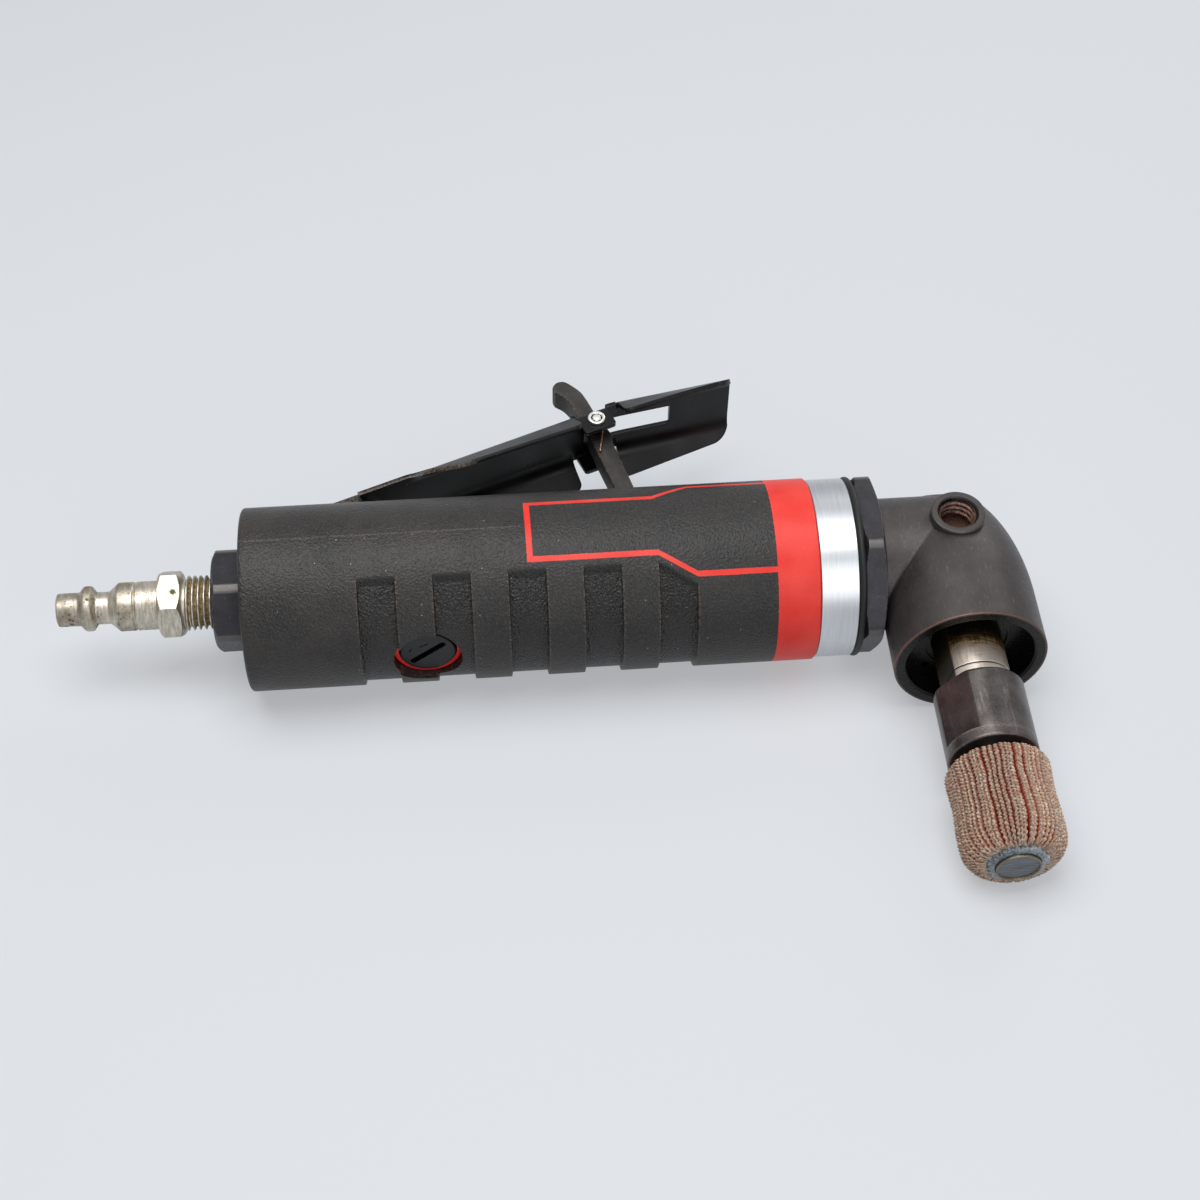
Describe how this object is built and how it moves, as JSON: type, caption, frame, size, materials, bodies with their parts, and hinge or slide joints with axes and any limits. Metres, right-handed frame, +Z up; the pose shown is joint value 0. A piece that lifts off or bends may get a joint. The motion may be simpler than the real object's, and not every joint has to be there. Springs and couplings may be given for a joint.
{
  "type": "right angle die grinder",
  "caption": "Air-driven right-angle die grinder with a ribbed round grip, a throttle lever with a safety lock, an angle head and a worn abrasive flap wheel in its collet.",
  "frame": {"origin": "bottom centre of the bounding box, on the surface that the tool lies on", "axes": "+X along the barrel from the air plug to the angle head, +Y from the flap wheel to the throttle lever, +Z up; the tool lies on its side on the grip and the flap wheel, rolled 7.15 degrees about X"},
  "size_m": [0.2382, 0.1546, 0.045],
  "materials": {
    "zinc_plated_steel": "zinc plated, lightly rusted",
    "black_oxide_steel": "black oxide, oiled, worn at the edges",
    "sintered_bronze": "plain",
    "grip_composite": "fine leather grain",
    "turned_aluminium": "bright turned",
    "felt": "pressed wool felt",
    "ground_steel": "ground",
    "nitrile_rubber": "smooth",
    "spring_steel": "drawn wire",
    "black_lever_paint": "glossy black over pressed steel",
    "grey_sintered_steel": "matt dark grey",
    "copper_spring_steel": "copper washed wire",
    "black_nylon": "moulded",
    "red_acetal": "moulded",
    "cast_iron": "machined",
    "phenolic_laminate": "cut laminate",
    "abrasive_cloth": "worn tan abrasive cloth",
    "resin_bond": "grey resin"
  },
  "bodies": {
    "housing": {"air_plug": "zinc_plated_steel", "inlet_bushing": "black_oxide_steel", "inlet_screen": "sintered_bronze", "grip_sleeve": "grip_composite", "motor_housing": "turned_aluminium", "exhaust_cover": "grip_composite", "silencer_felt": "felt", "valve_bush": "sintered_bronze", "lever_pivot_pin": "ground_steel", "regulator_ring": "red_acetal", "rear_end_plate": "cast_iron", "cylinder_liner": "cast_iron", "locating_dowel": "ground_steel", "front_end_plate": "cast_iron", "clamp_spacer": "ground_steel", "rotor_bearing_rear": "ground_steel", "rotor_bearing_front": "ground_steel", "pinion_bearing": "ground_steel", "head_seal": "nitrile_rubber", "clamp_nut": "black_oxide_steel", "angle_head": "black_oxide_steel", "spindle_bearing_upper": "ground_steel", "spindle_bearing_lower": "ground_steel", "bearing_retainer": "black_oxide_steel", "spindle_seal": "nitrile_rubber"},
    "rotor": {"rotor": "ground_steel", "vanes": "phenolic_laminate", "pinion_shaft": "ground_steel"},
    "spindle": {"spindle": "ground_steel", "bevel_gear": "ground_steel", "gear_lock_nut": "ground_steel", "collet": "ground_steel", "collet_nut": "black_oxide_steel", "wheel_core": "zinc_plated_steel", "wheel_flaps": "abrasive_cloth", "wheel_end_ring": "resin_bond"},
    "lever": {"throttle_lever": "black_lever_paint", "lock_pin": "zinc_plated_steel"},
    "lock": {"lock_lever": "grey_sintered_steel", "lock_spring": "copper_spring_steel"},
    "valve": {"valve_stem": "ground_steel", "valve_seal": "nitrile_rubber", "valve_spring": "spring_steel"},
    "regulator": {"regulator_dial": "black_nylon", "regulator_seal": "nitrile_rubber"}
  },
  "joints": [
    {"name": "rotor_spin", "type": "hinge", "parent": "housing", "child": "rotor", "pos_m": [0.0205, 0.01198, 0.0225], "axis": [1, 0, 0], "continuous": true},
    {"name": "spindle_spin", "type": "hinge", "parent": "housing", "child": "spindle", "pos_m": [0.1005, -0.01779, 0.01877], "axis": [0, -0.9922, -0.1245], "continuous": true},
    {"name": "lever_press", "type": "hinge", "parent": "housing", "child": "lever", "pos_m": [-0.0477, 0.03242, 0.02506], "axis": [0, 0.1245, -0.9922], "range_deg": [0, 8.5], "stiffness_Nm_per_rad": 4, "springref_deg": -8.59},
    {"name": "lock_swing", "type": "hinge", "parent": "lever", "child": "lock", "pos_m": [0.0162, 0.05816, 0.02829], "axis": [0, 0.1245, -0.9922], "range_deg": [0, 76.6]},
    {"name": "valve_push", "type": "slide", "parent": "housing", "child": "valve", "axis": [0, -0.9922, -0.1245], "range_m": [0, 0.00152], "deforming": ["valve_spring"]},
    {"name": "regulator_turn", "type": "hinge", "parent": "housing", "child": "regulator", "pos_m": [-0.0297, -0.00588, 0.02026], "axis": [0, -0.9922, -0.1245], "range_deg": [0, 90]}
  ],
  "couplings": [
    {"joint": "spindle_spin", "follows": "rotor_spin", "ratio": 0.57143},
    {"joint": "lock_swing", "follows": "lever_press", "ratio": 9},
    {"joint": "valve_push", "follows": "lever_press", "m_per_rad": 0.010111}
  ]
}
